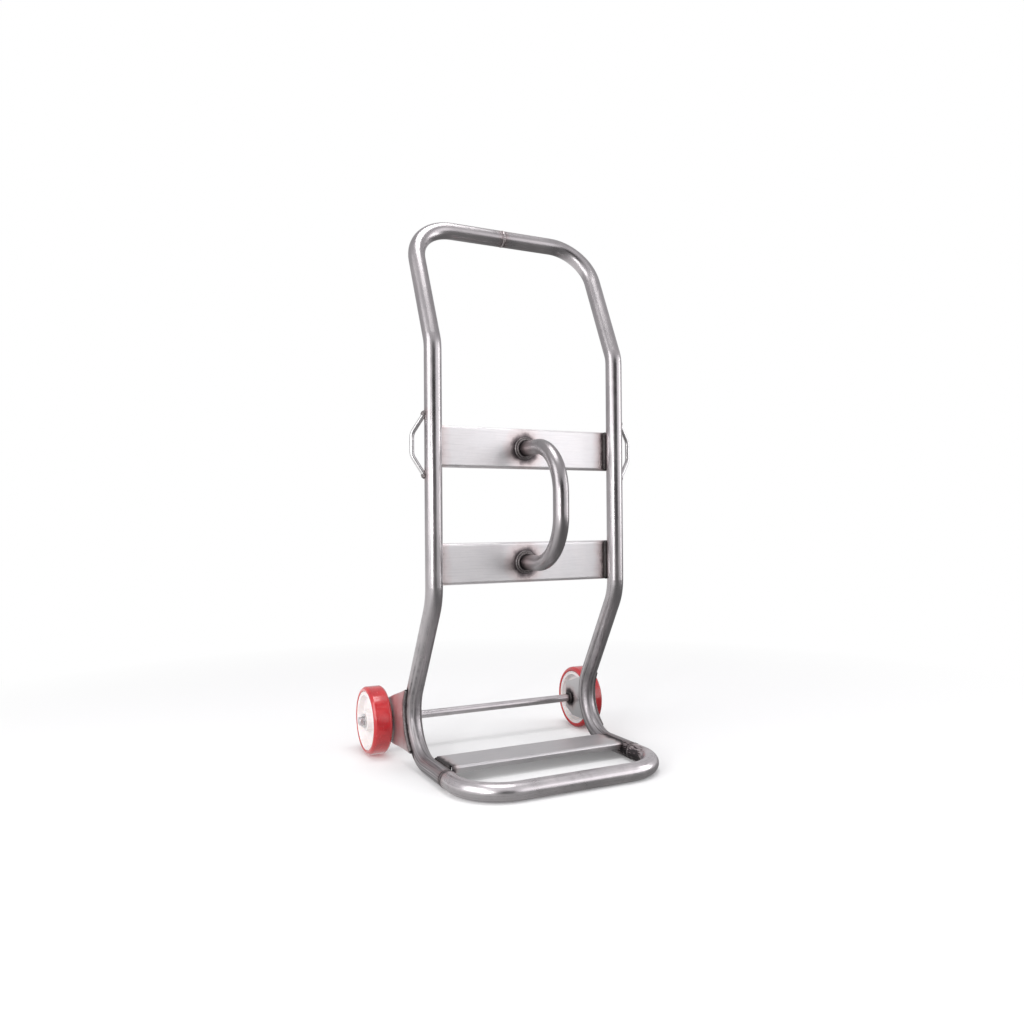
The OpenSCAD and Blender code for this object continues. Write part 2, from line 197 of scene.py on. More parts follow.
def rail_line():
    """From the middle of the push bar to the seam in the toe, for the right rail."""
    bar = HALF_SPACING - BAR_CORNER_R
    lean = (BAR.z - UPPER_BEND_Z) / math.cos(LEAN) - BAR_CORNER_R - set_back(LEAN, UPPER_BEND_R)
    post = UPPER_BEND_Z - LOWER_BEND_Z - set_back(LEAN, UPPER_BEND_R) - set_back(LEG, LOWER_BEND_R)
    leg = (LOWER_BEND_Z - TUBE_R) / math.cos(LEG)
    leg = leg - set_back(LEG, LOWER_BEND_R) - set_back(HEEL_TURN, HEEL_R)
    toe = HEEL_Y - SEAM_Y - set_back(HEEL_TURN, HEEL_R)
    table = [
        (bar, -LEAN, QUARTER_TURN, BAR_CORNER_R),
        (lean, QUARTER_TURN, LEAN, UPPER_BEND_R),
        (post, 0, LEG, LOWER_BEND_R),
        (leg, math.pi, HEEL_TURN, HEEL_R),
        (toe,),
    ]
    start = Matrix.Translation((0, BAR.y, BAR.z)) @ Matrix.Rotation(QUARTER_TURN, 4, "Y")
    return centre_line(table, start)


def toe_line():
    side = SEAM_Y - TOE_Y - TOE_CORNER_R
    front = 2 * (HALF_SPACING - TOE_CORNER_R)
    table = [
        (side, 0, QUARTER_TURN, TOE_CORNER_R),
        (front, 0, QUARTER_TURN, TOE_CORNER_R),
        (side,),
    ]
    start = Matrix.Translation((-HALF_SPACING, SEAM_Y, TUBE_R))
    return centre_line(table, start @ Matrix.Rotation(QUARTER_TURN, 4, "X"))


def grab_line():
    foot = PLATE_FACE_Y - (GRAB_FRONT_Y + GRAB_R) - GRAB_BEND_R
    grip = UPPER_Z - LOWER_Z - 2 * GRAB_BEND_R
    table = [
        (foot, 0, QUARTER_TURN, GRAB_BEND_R),
        (grip, 0, QUARTER_TURN, GRAB_BEND_R),
        (foot,),
    ]
    start = Matrix.Translation((0, PLATE_FACE_Y, UPPER_Z)) @ Matrix.Rotation(QUARTER_TURN, 4, "Y")
    return centre_line(table, start @ Matrix.Rotation(QUARTER_TURN, 4, "X"))


RIGHT_LINE = rail_line()
add_grain("right_rail", RIGHT_LINE)
add_grain("left_rail", [Vector((-p.x, p.y, p.z)) for p in RIGHT_LINE])
add_grain("toe_loop", toe_line())
add_grain("grab_handle", grab_line())
add_grain("axle", [Vector((x, AXLE.y, AXLE.z)) for x in (AXLE_LOW.x, AXLE_HIGH.x)])

# ---- Materials ----


class Look:
    """A material under construction around one Principled shader."""

    def __init__(self, name, **surface):
        self.material = bpy.data.materials.new(name)
        self.material.use_nodes = True
        self.tree = self.material.node_tree
        self.shader = self.tree.nodes["Principled BSDF"]
        self.place = self.add("TexCoord").outputs["Object"]
        self.surface(**surface)

    def surface(self, **values):
        for key, value in values.items():
            self.feed(self.shader.inputs[key.replace("_", " ")], value)

    def feed(self, socket, value):
        if isinstance(value, bpy.types.NodeSocket):
            self.tree.links.new(value, socket)
        elif value is not None:
            socket.default_value = value

    def add(self, kind, sockets=None, **settings):
        made = self.tree.nodes.new("ShaderNode" + kind)
        for key, value in settings.items():
            setattr(made, key, value)
        for key, value in (sockets or {}).items():
            self.feed(made.inputs[key], value)
        return made

    def math(self, operation, a, b=None, clamp=False):
        made = self.add("Math", {0: a, 1: b}, operation=operation, use_clamp=clamp)
        return made.outputs[0]

    def vector(self, operation, a, b=None, scale=None):
        made = self.add("VectorMath", {0: a, 1: b}, operation=operation)
        if scale is not None:
            self.feed(made.inputs["Scale"], scale)
        return made.outputs["Value" if operation in ("LENGTH", "DOT_PRODUCT") else "Vector"]

    def noise(self, size, stretch=(1, 1, 1), detail=3.0, roughness=0.55, place=None, distortion=0.0):
        """Noise with features of about this size in metres, longer along an axis stretched above 1."""
        scaled = self.add(
            "Mapping", {"Vector": place or self.place, "Scale": [1 / (size * s) for s in stretch]}
        )
        made = self.add("TexNoise", {
            "Vector": scaled.outputs[0], "Scale": 1.0, "Detail": detail,
            "Roughness": roughness, "Distortion": distortion,
        })
        return made.outputs["Fac"]

    def spread(self, value, low, high, to_low=0.0, to_high=1.0):
        """Maps low..high to to_low..to_high and holds the ends."""
        made = self.add("MapRange", {
            "Value": value, "From Min": low, "From Max": high, "To Min": to_low, "To Max": to_high,
        })
        return made.outputs["Result"]

    def mix(self, share, a, b, blend="MIX"):
        made = self.add("Mix", {"Factor": share}, data_type="RGBA", blend_type=blend)
        for key, value in (("A", a), ("B", b)):
            sockets = [s for s in made.inputs if s.name == key and s.type == "RGBA"]
            self.feed(sockets[0], value if isinstance(value, bpy.types.NodeSocket) else (*value, 1))
        return next(s for s in made.outputs if s.type == "RGBA")

    def ramp(self, value, *stops):
        made = self.add("ValToRGB", {"Fac": value})
        ramp = made.color_ramp
        while len(ramp.elements) < len(stops):
            ramp.elements.new(1.0)
        for element, (position, colour) in zip(ramp.elements, stops):
            element.position = position
            element.color = (*colour, 1)
        return made.outputs["Color"]

    def bump(self, height, depth, distance, under=None):
        made = self.add("Bump", {"Strength": depth, "Distance": distance, "Height": height})
        if under is not None:
            self.feed(made.inputs["Normal"], under)
        return made.outputs["Normal"]


def toned(tone, *colour):
    return tuple(tone * part for part in colour)


# Distances from the surface to a weld, which temper colours follow


def to_segment(look, a, b):
    """Distance from the surface to a straight weld between a and b."""
    a, b = Vector(a), Vector(b)
    from_a = look.vector("SUBTRACT", look.place, a)
    along = look.vector("DOT_PRODUCT", from_a, (b - a) / (b - a).length_squared)
    held = look.math("ADD", along, 0.0, clamp=True)
    nearest = look.vector("SCALE", b - a, scale=held)
    return look.vector("LENGTH", look.vector("SUBTRACT", from_a, nearest))


def to_ball(look, a, radius):
    gap = look.vector("LENGTH", look.vector("SUBTRACT", look.place, Vector(a)))
    return look.math("SUBTRACT", gap, radius)


def to_plane(look, a, normal):
    gap = look.vector("DOT_PRODUCT", look.vector("SUBTRACT", look.place, Vector(a)), Vector(normal))
    return look.math("ABSOLUTE", gap)


def hook_foot(side, end):
    """Where a strap hook meets its post."""
    reach = HOOK_FLAT / 2 + (HOOK_OUT - TUBE_R) / math.tan(HOOK_SLOPE)
    out = Vector((math.cos(HOOK_TURN), math.sin(HOOK_TURN), 0)) * TUBE_R
    return Vector((side * (HALF_SPACING + out.x), POST_Y + out.y, UPPER_Z + end * reach))


# Places and radii that the distances to the welds are measured from
PLATE_BEAD_IN = 12 * MM
PLATE_BEAD_AHEAD = 2 * MM
PUSH_BAR_COOLER = 2 * MM
HOOK_FOOT_R = 2 * MM
GRAB_FOOT_AHEAD = 7 * MM
GRAB_RING_R = 19 * MM
AXLE_WELD_R = AXLE_R + 6 * MM
HEEL_BEAD_PAST = 40 * MM

# The burnt patch: its line inside the toe's tube, and how far its strokes reach out of it
PATCH_X = HALF_SPACING - 0.9 * TUBE_R
PATCH_BACK_Y = SEAM_Y + 16 * MM
PATCH_FRONT_Y = SEAM_Y - 32 * MM
STROKE_LONG, STROKE_SHORT = -17 * MM, 5 * MM


def plate_bead_ends(side, z):
    """The lower and upper end of the weld between a cross plate and a post."""
    x, y = side * (HALF_SPACING - PLATE_BEAD_IN), PLATE_FACE_Y - PLATE_BEAD_AHEAD
    return (x, y, z - PLATE_W / 2), (x, y, z + PLATE_W / 2)


def push_bar_gap(look):
    """To the push bar's weld, with a little added because less colour is left there."""
    return look.math("ADD", to_plane(look, BAR, X), PUSH_BAR_COOLER)


def seam_gap(look):
    return to_plane(look, (0, SEAM_Y, 0), Y)


def plate_end_gap(side, z):
    return lambda look: to_segment(look, *plate_bead_ends(side, z))


def hook_foot_gap(side, end):
    return lambda look: to_ball(look, hook_foot(side, end), HOOK_FOOT_R)


def toe_plate_end_gap(side):
    x, z = side * (HALF_SPACING - TUBE_R), 2 * TUBE_R
    return lambda look: to_segment(look, (x, TOE_PLATE_LOW.y, z), (x, TOE_PLATE_HIGH.y, z))


def end_plane_gap(x):
    return lambda look: to_plane(look, (x, 0, 0), X)


def grab_foot_gap(look):
    return to_plane(look, (0, PLATE_FACE_Y - GRAB_FOOT_AHEAD, 0), Y)


def grab_ring_gap(z):
    """To the ring that the heat of the grab handle's foot leaves on its cross plate."""
    foot = (0, PLATE_FACE_Y, z)
    return lambda look: look.math("ABSOLUTE", to_ball(look, foot, GRAB_RING_R))


def axle_weld_gap(look):
    """To the weld round the axle, across the axle only."""
    flat = look.vector("MULTIPLY", look.vector("SUBTRACT", look.place, AXLE), (0, 1, 1))
    return look.math("SUBTRACT", look.vector("LENGTH", flat), AXLE_WELD_R)


def ground_patch_gap(side):
    """To the burnt and roughly ground patch inside the toe, around the end of the toe plate."""
    back, front = (side * PATCH_X, PATCH_BACK_Y, TUBE_R), (side * PATCH_X, PATCH_FRONT_Y, TUBE_R)

    def patch(look):
        gap = to_segment(look, back, front)
        strokes = look.noise(2.6 * MM, (1, 9, 1), detail=4, roughness=0.7)
        return look.math("ADD", gap, look.spread(strokes, 0.35, 0.65, STROKE_LONG, STROKE_SHORT))

    return patch


def heel_bead_gap(look):
    """To the curved bead between rail and bracket, on either side of the truck."""
    flat = look.vector("MULTIPLY", look.vector("SUBTRACT", look.place, HEEL_MID), (0, 1, 1))
    across = look.math("SUBTRACT", look.vector("LENGTH", flat), HEEL_R)
    parts = look.add("SeparateXYZ", {0: look.place}).outputs
    out = look.math("SUBTRACT", look.math("ABSOLUTE", parts[0]), BRACKET_IN_X)
    squares = look.math("ADD", look.math("POWER", across, 2), look.math("POWER", out, 2))
    gap = look.math("SQRT", squares)
    above = look.math("MAXIMUM", look.math("SUBTRACT", parts[2], HEEL_MID.z + HEEL_BEAD_PAST), 0.0)
    ahead = look.math("MAXIMUM", look.math("SUBTRACT", HEEL_MID.y + HEEL_BEAD_PAST, parts[1]), 0.0)
    return look.math("ADD", gap, look.math("ADD", above, ahead))


HEAT_REACH = 34 * MM
HEAT_WANDER = 3 * MM


def heat(look, colour, gaps, reach):
    """Temper colours that fade out away from the welds, and how faded they are, from 0 to 1."""
    nearest, *others = [gap(look) for gap in gaps]
    for gap in others:
        nearest = look.math("MINIMUM", nearest, gap)
    wander = look.spread(look.noise(14 * MM, detail=4), 0.3, 0.7, -HEAT_WANDER, HEAT_WANDER)
    nearest = look.math("ADD", nearest, wander)
    share = look.spread(nearest, 0.0, HEAT_REACH * reach)
    tint = look.ramp(
        share,
        (0.0, (0.12, 0.11, 0.115)),
        (0.14, (0.24, 0.21, 0.215)),
        (0.26, (0.50, 0.44, 0.44)),
        (0.40, (0.86, 0.78, 0.77)),
        (0.64, (0.98, 0.93, 0.925)),
        (1.0, (1.0, 1.0, 1.0)),
    )
    return look.mix(1.0, colour, tint, "MULTIPLY"), share


def painted_floor_shade(look, grain, blotches, base, rough, height, tone):
    """Painted shade that darkens the tube towards the floor up to this height, with painted reflection in
    dark and bright bands along it.
    """
    up = look.add("SeparateXYZ", {0: look.place}).outputs[2]
    uneven = look.spread(blotches, 0.3, 0.7, -0.35 * height, 0.35 * height)
    # Share of painted shade: strongest near the floor, with an uneven top edge, gone at the given height
    wear_and_painted_shade = look.spread(look.math("ADD", up, uneven), 0.25 * height, height, 0.78, 0.0)
    # Painted reflection: dark and bright bands along the tube
    bands = look.noise(4 * MM, (60, 1, 1), detail=4, roughness=0.65, place=grain)
    painted_bands = look.ramp(
        bands,
        (0.36, (0.08, 0.075, 0.08)),
        (0.50, toned(tone, 0.34, 0.32, 0.33)),
        (0.64, toned(tone, 0.60, 0.57, 0.58)),
    )
    return look.mix(wear_and_painted_shade, base, painted_bands), look.math("ADD", rough, look.math("MULTIPLY", wear_and_painted_shade, 0.16))


def tube_steel(name, gaps, reach, painted_shade_up_to, tone):
    """Drawn and polished tube: long fine marks along it, soft handling smears, tint beside the welds."""
    look = Look(name, Metallic=1.0)
    grain = look.add("UVMap", uv_map="grain").outputs[0]
    drawn = look.noise(1.3 * MM, (110, 1, 1), detail=4, roughness=0.6, place=grain)
    hairs = look.noise(0.5 * MM, (60, 1, 1), detail=3, place=grain)
    smears = look.noise(42 * MM, (1, 1, 1.6), detail=5, roughness=0.55, distortion=0.4)
    blotches = look.noise(13 * MM, detail=4, roughness=0.6)
    base = look.ramp(
        smears,
        (0.25, toned(tone, 0.40, 0.38, 0.39)),
        (0.5, toned(tone, 0.475, 0.452, 0.462)),
        (0.75, toned(tone, 0.54, 0.508, 0.518)),
    )
    base = look.mix(look.spread(blotches, 0.5, 0.8, 0.0, 0.35), base, (0.40, 0.35, 0.365))
    base = look.mix(look.spread(drawn, 0.40, 0.72, 0.0, 0.38), base, (0.25, 0.235, 0.24))
    rough = look.spread(smears, 0.3, 0.75, 0.25, 0.33)
    rough = look.math("ADD", rough, look.spread(hairs, 0.35, 0.7, 0.0, 0.04))
    # Painted shade towards the floor, with painted reflection bands
    if painted_shade_up_to:
        base, rough = painted_floor_shade(look, grain, blotches, base, rough, painted_shade_up_to, tone)
    base, share = heat(look, base, gaps, reach)
    rough = look.math("ADD", rough, look.spread(share, 0.0, 0.5, 0.22, 0.0))
    fine = look.bump(hairs, 0.04, 0.04 * MM)
    waves = look.bump(drawn, 0.05, 0.05 * MM, fine)
    dents = look.bump(look.noise(60 * MM, detail=1), 0.10, 0.5 * MM, waves)
    look.surface(Base_Color=base, Roughness=rough, Normal=dents)
    return look.material


def sheet_steel(name, gaps, reach, grain=(60, 1, 1), tone=0.92, rough_low=0.34):
    """Brushed sheet: long straight scratches one way, faint water marks, tint beside the welds."""
    look = Look(name, Metallic=1.0)
    brushed = look.noise(0.5 * MM, grain, detail=5, roughness=0.7)
    streaks = look.noise(2.6 * MM, tuple(0.4 * g if g > 1 else 1 for g in grain), detail=3)
    cloudy = look.noise(45 * MM, detail=5, roughness=0.6, distortion=0.6)
    base = look.ramp(
        cloudy,
        (0.25, toned(tone, 0.93, 0.915, 0.93)),
        (0.55, toned(tone, 1, 0.975, 0.985)),
        (0.8, toned(tone, 1.05, 1.02, 1.03)),
    )
    base = look.mix(look.spread(brushed, 0.4, 0.75, 0.0, 0.25), base, (0.60, 0.58, 0.59))
    base = look.mix(look.spread(streaks, 0.5, 0.75, 0.0, 0.16), base, (0.42, 0.40, 0.41))
    rough = look.spread(cloudy, 0.3, 0.75, rough_low, rough_low + 0.10)
    rough = look.math("ADD", rough, look.spread(brushed, 0.3, 0.7, 0.0, 0.08))
    base, share = heat(look, base, gaps, reach)
    rough = look.math("ADD", rough, look.spread(share, 0.0, 0.5, 0.15, 0.0))
    fine = look.bump(brushed, 0.12, 0.12 * MM)
    look.surface(Base_Color=base, Roughness=rough, Normal=look.bump(cloudy, 0.2, 0.6 * MM, fine))
    return look.material


def weld_metal(name, tone):
    """Fused bead: oxide in the valleys between ripples, brighter crests, straw and violet patches."""
    look = Look(name, Metallic=1.0)
    patches = look.noise(6 * MM, detail=4, roughness=0.6)
    soot = look.noise(2.2 * MM, detail=5, roughness=0.75)
    crest = look.add("Attribute", attribute_name="crest", attribute_type="GEOMETRY").outputs["Fac"]
    base = look.ramp(
        patches,
        (0.25, toned(tone, 0.16, 0.155, 0.175)),
        (0.45, toned(tone, 0.25, 0.205, 0.20)),
        (0.6, toned(tone, 0.31, 0.28, 0.285)),
        (0.8, toned(tone, 0.21, 0.185, 0.205)),
    )
    base = look.mix(look.spread(crest, 0.45, 1.0, 0.0, 0.55), base, toned(tone, 0.50, 0.475, 0.48))
    base = look.mix(look.spread(soot, 0.48, 0.72, 0.0, 0.75), base, (0.045, 0.04, 0.04))
    look.surface(
        Base_Color=base,
        Roughness=look.spread(soot, 0.35, 0.7, 0.30, 0.62),
        Normal=look.bump(soot, 0.5, 0.25 * MM),
    )
    return look.material


def polyurethane():
    """Cast red tread: deep wet gloss, slightly cloudy, fine scuffs and a little dust where it runs."""
    look = Look(
        "red_polyurethane", IOR=1.5, Coat_Weight=0.8, Coat_Roughness=0.07, Subsurface_Weight=0.10,
        Subsurface_Scale=4 * MM,
    )
    look.surface(Subsurface_Radius=(1.0, 0.25, 0.2))
    cloudy = look.noise(22 * MM, detail=4, roughness=0.6)
    dust = look.noise(3.5 * MM, (1, 3, 3), detail=6, roughness=0.75)
    scuffs = look.noise(1.1 * MM, (14, 1, 1), detail=4, roughness=0.7)
    base = look.ramp(
        cloudy,
        (0.3, (0.44, 0.010, 0.016)),
        (0.55, (0.55, 0.014, 0.020)),
        (0.8, (0.62, 0.024, 0.028)),
    )
    base = look.mix(look.spread(dust, 0.62, 0.82, 0.0, 0.12), base, (0.60, 0.28, 0.26))
    rough = look.spread(dust, 0.35, 0.75, 0.18, 0.32)
    rough = look.math("ADD", rough, look.spread(scuffs, 0.6, 0.8, 0.0, 0.10))
    look.surface(Base_Color=base, Roughness=rough, Normal=look.bump(scuffs, 0.03, 0.03 * MM))
    return look.material


def polyamide(name, tone):
    """Moulded off-white plastic: slightly milky, fine spark-eroded grain and faint flow marks."""
    look = Look(name, IOR=1.53, Subsurface_Weight=0.2, Subsurface_Scale=3 * MM)
    look.surface(Subsurface_Radius=(1.0, 0.8, 0.6))
    flow = look.noise(26 * MM, detail=3, distortion=0.8)
    specks = look.noise(0.45 * MM, detail=3, roughness=0.7)
    dirt = look.noise(7 * MM, detail=6, roughness=0.7)
    base = look.ramp(
        flow,
        (0.3, toned(tone, 0.83, 0.775, 0.765)),
        (0.7, toned(tone, 0.90, 0.845, 0.84)),
    )
    base = look.mix(look.spread(dirt, 0.55, 0.85, 0.0, 0.3), base, (0.60, 0.55, 0.53))
    look.surface(
        Base_Color=base,
        Roughness=look.spread(specks, 0.3, 0.7, 0.30, 0.42),
        Normal=look.bump(specks, 0.15, 0.06 * MM),
    )
    return look.material


def plain_steel(name, tone, rough_low, rough_high):
    """Small turned or drawn steel parts with tool marks and a little handling wear."""
    look = Look(name, Metallic=1.0)
    marks = look.noise(1.2 * MM, detail=4, roughness=0.7)
    wear_and_painted_shade = look.noise(8 * MM, detail=4)
    base = look.ramp(
        wear_and_painted_shade,
        (0.3, toned(tone, 0.85, 0.835, 0.84)),
        (0.7, toned(tone, 1, 0.98, 0.985)),
    )
    base = look.mix(look.spread(marks, 0.4, 0.75, 0.0, 0.3), base, (0.22, 0.21, 0.21))
    look.surface(
        Base_Color=base,
        Roughness=look.spread(marks, 0.3, 0.7, rough_low, rough_high),
        Normal=look.bump(marks, 0.2, 0.08 * MM),
    )
    return look.material


def paint(node, material):
    slots = NODES[node].data.materials
    slots.clear()
    slots.append(material)


# Heights up to which the rails and the toe loop are darkened towards the floor: painted shade
RAIL_PAINTED_SHADE_UP_TO = 280 * MM
TOE_PAINTED_SHADE_UP_TO = 10 * MM
BRACKET_GRAIN = (1, 40, 1)

for side, name in SIDE_NAMES:
    rail_gaps = [push_bar_gap, seam_gap, heel_bead_gap]
    rail_gaps += [plate_end_gap(side, z) for z in (UPPER_Z, LOWER_Z)]
    rail_gaps += [hook_foot_gap(side, end) for end in (-1, 1)]
    rail_gaps += [ground_patch_gap(side), toe_plate_end_gap(side)]
    rail = tube_steel(name + "_rail_steel", rail_gaps, 0.45, RAIL_PAINTED_SHADE_UP_TO, 0.92)
    paint(name + "_rail", rail)
    bracket_gaps = [heel_bead_gap, axle_weld_gap]
    bracket = sheet_steel(name + "_bracket_steel", bracket_gaps, 0.5, BRACKET_GRAIN, 0.66)
    paint(name + "_wheel_bracket", bracket)

toe_gaps = [seam_gap] + [ground_patch_gap(side) for side in SIDES]
# The toe loop and the axle are toned brighter and the grab handle darker than the rails: lit and shaded
# copies of one tube steel, painted light and shade
paint("toe_loop", tube_steel("toe_loop_steel", toe_gaps, 0.6, TOE_PAINTED_SHADE_UP_TO, 1.45))
paint("grab_handle", tube_steel("grab_handle_steel", [grab_foot_gap], 1.5, 0.0, 0.74))
axle_gaps = [end_plane_gap(side * BRACKET_IN_X) for side in SIDES]
paint("axle", tube_steel("axle_steel", axle_gaps, 0.5, 0.0, 1.45))
for name, z in (("upper_cross_plate", UPPER_Z), ("lower_cross_plate", LOWER_Z)):
    plate_gaps = [grab_ring_gap(z)] + [plate_end_gap(side, z) for side in SIDES]
    paint(name, sheet_steel(name + "_steel", plate_gaps, 0.8))
toe_plate_gaps = [end_plane_gap(side * (HALF_SPACING - TUBE_R)) for side in SIDES]
paint("toe_plate", sheet_steel("toe_plate_steel", toe_plate_gaps, 0.5, tone=0.68, rough_low=0.28))

HOOK_STEEL = plain_steel("hook_steel", 0.68, 0.25, 0.40)
WELD = weld_metal("weld_bead", 0.58)
SEAM = weld_metal("seam_bead", 1.35)
DARK_WELD = weld_metal("dark_weld_bead", 0.2)
TREAD = polyurethane()
CORE = polyamide("white_polyamide", 1.0)
CAGE = polyamide("cage_plastic", 0.85)
BEARING_STEEL = plain_steel("bearing_steel", 0.66, 0.12, 0.24)
FASTENER_STEEL = plain_steel("fastener_steel", 0.82, 0.28, 0.45)

for node in ("push_bar_weld", "toe_welds", "cross_plate_welds", "toe_plate_welds", "grab_handle_welds",
             "strap_hook_welds", "bracket_welds", "axle_welds"):
    paint(node, WELD)
for side, name in SIDE_NAMES:
    paint(name + "_strap_hook", HOOK_STEEL)
    paint(name + "_tread", TREAD)
    paint(name + "_wheel_core", CORE)
    paint(name + "_roller_cage", CAGE)
    paint(name + "_rollers", BEARING_STEEL)
for node in ("axle_washers", "split_pins"):
    paint(node, FASTENER_STEEL)

# ---- Beads, turned parts and wire made in mesh code ----

BEAD_STEP = 0.45 * MM
BEAD_UNEVEN = 0.10
BEAD_UNEVEN_LENGTH = 3.5 * MM
BEAD_THIN_END = 0.02
LUMP_RINGS = 36
LUMP_SIDES = 48
LUMP_RIPPLE = 0.07
LUMP_UNEVEN = 0.14
WIRE_SIDES = 12


def ring(centre, axis, first, radius, turn=FULL_TURN):
    """Points round an axis, each with its outward normal. They start in the first direction."""
    axis, first = Vector(axis).normalized(), Vector(first).normalized()
    count = math.ceil(turn * radius / BEAD_STEP)
    line = []
    for i in range(count if turn == FULL_TURN else count + 1):
        out = Matrix.Rotation(turn * i / count, 3, axis) @ first
        line.append((Vector(centre) + radius * out, out))
    return line


def straight(a, b, normal):
    """Points from a to b, each with the same normal."""
    a, b = Vector(a), Vector(b)
    count = math.ceil((b - a).length / BEAD_STEP)
    return [(a.lerp(b, i / count), Vector(normal).normalized()) for i in range(count + 1)]


def rounded(outline, radius, steps=5):
    """A closed outline with its corners rounded by up to this radius."""
    made, count = [], len(outline)
    for i, corner in enumerate(outline):
        corner = Vector(corner)
        before, after = Vector(outline[i - 1]) - corner, Vector(outline[(i + 1) % count]) - corner
        half = before.angle(after) / 2
        reach = min(radius / math.tan(half), 0.45 * before.length, 0.45 * after.length)
        start, end = corner + before.normalized() * reach, corner + after.normalized() * reach
        for k in range(steps + 1):
            t = k / steps
            made.append(start * (1 - t) ** 2 + corner * 2 * t * (1 - t) + end * t ** 2)
    return made


class Shape:
    """Mesh under construction, with how far each point stands up on a weld ripple."""

    def __init__(self):
        self.points, self.faces, self.crests = [], [], []

    def skin(self, rows, crests, closed):
        """Joins rows of points, each a closed loop, and closes the ends of an open skin."""
        first, sides = len(self.points), len(rows[0])
        for row, values in zip(rows, crests):
            self.points += row
            self.crests += values
        for i in range(len(rows) if closed else len(rows) - 1):
            j = (i + 1) % len(rows)
            for k in range(sides):
                n = (k + 1) % sides
                self.faces.append([first + r * sides + c for r, c in ((i, k), (i, n), (j, n), (j, k))])
        if not closed:
            last = first + (len(rows) - 1) * sides
            self.faces += [[first + k for k in range(sides)][::-1], [last + k for k in range(sides)]]

    def bead(self, line, half_out, half_side, pitch, ripple, closed=False, sides=14, swell=0.0):
        """Weld bead along a line: overlapping ripples bowed backwards, uneven, with domed ends."""
        length = sum((line[i + 1][0] - line[i][0]).length for i in range(len(line) - 1))
        pitch = length / max(1, round(length / pitch))
        rows, crests, gone = [], [], 0.0
        count = len(line)
        for i, (place, out) in enumerate(line):
            if i:
                gone += (place - line[i - 1][0]).length
            ahead = line[(i + 1) % count if closed else min(i + 1, count - 1)][0]
            behind = line[i - 1 if closed else max(i - 1, 0)][0]
            across = (ahead - behind).normalized().cross(out).normalized()
            size = 1 + swell * (math.exp(-gone / half_side) + math.exp((gone - length) / half_side) - 1)
            if not closed:
                near_end = min(gone, length - gone) / (1.2 * half_side)
                size *= math.sqrt(max(BEAD_THIN_END, 1 - (1 - min(1, near_end)) ** 2))
            row, values = [], []
            for k in range(sides):
                a = FULL_TURN * k / sides
                phase = gone / pitch + 0.5 * math.sin(a) ** 2
                crest = math.sqrt(abs(math.sin(math.pi * phase)))
                spot = place / BEAD_UNEVEN_LENGTH + Vector((k / sides, 0, 0))
                uneven = 0.5 + 0.5 * noise.noise(spot)
                grown = size * (1 - ripple * (1 - crest) - BEAD_UNEVEN * uneven)
                lift, aside = half_out * math.cos(a) * out, half_side * math.sin(a) * across
                row.append(place + grown * (lift + aside))
                values.append(crest)
            rows.append(row)
            crests.append(values)
        self.skin(rows, crests, closed)

    def lathe(self, centre, outline, count):
        """Turns an outline of (along X, radius) points round the line along X through the centre."""
        rows = []
        for i in range(count):
            a = FULL_TURN * i / count
            turned = [Vector((x, r * math.cos(a), r * math.sin(a))) for x, r in outline]
            rows.append([Vector(centre) + point for point in turned])
        self.skin(rows, [[1.0] * len(outline)] * count, True)

    def wire(self, points, radius):
        angles = [FULL_TURN * k / WIRE_SIDES for k in range(WIRE_SIDES)]
        rows = []
        for place, (_, side, up) in zip(points, frames(points)):
            rows.append([place + radius * (math.cos(a) * side + math.sin(a) * up) for a in angles])
        self.skin(rows, [[1.0] * WIRE_SIDES] * len(rows), False)

    def lump(self, centre, axis, radius):
        """Blob of weld with ripples round its axis."""
        axis = Vector(axis).normalized()
        side = axis.orthogonal().normalized()
        up = axis.cross(side)
        rows, crests = [], []
        for i in range(LUMP_RINGS + 1):
            fall = math.pi * (i + 0.02) / (LUMP_RINGS + 0.04)
            row, values = [], []
            for k in range(LUMP_SIDES):
                a = FULL_TURN * k / LUMP_SIDES
                around = math.cos(a) * side + math.sin(a) * up
                out = math.cos(fall) * axis + math.sin(fall) * around
                crest = math.sqrt(abs(math.sin(4.5 * fall + 0.35 * math.sin(3 * a))))
                uneven = 0.5 + 0.5 * noise.noise(out * 1.6 + Vector(centre) * 100)
                grown = 1 - LUMP_RIPPLE * (1 - crest) - LUMP_UNEVEN * uneven
                row.append(Vector(centre) + out * radius * grown)
                values.append(crest)
            rows.append(row)
            crests.append(values)
        self.skin(rows, crests, False)

    def finish(self, name, node, body, material):
        mesh = bpy.data.meshes.new(name)
        mesh.from_pydata([tuple(p) for p in self.points], [], self.faces)
        layer = mesh.attributes.new("crest", "FLOAT", "POINT")
        layer.data.foreach_set("value", self.crests)
        shell = bmesh.new()
        shell.from_mesh(mesh)
        bmesh.ops.recalc_face_normals(shell, faces=shell.faces)
        shell.to_mesh(mesh)
        shell.free()
        mesh.shade_smooth()
        mesh.materials.append(material)
        piece = bpy.data.objects.new(name, mesh)
        bpy.context.collection.objects.link(piece)
        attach(piece, body)
        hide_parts(node)


# Butt welds round the tube: how far a bead stands out and reaches to each side
BUTT_OUT = 0.68 * MM
BUTT_SIDE = 2.1 * MM
SEAM_OPEN = math.radians(40)

push_bar = Shape()
push_bar.bead(
    ring(BAR, X, -Y, TUBE_R), BUTT_OUT, BUTT_SIDE, pitch=3.1 * MM, ripple=0.25, closed=True, sides=18)
push_bar.finish("push_bar_bead", "push_bar_weld", "frame", SEAM)

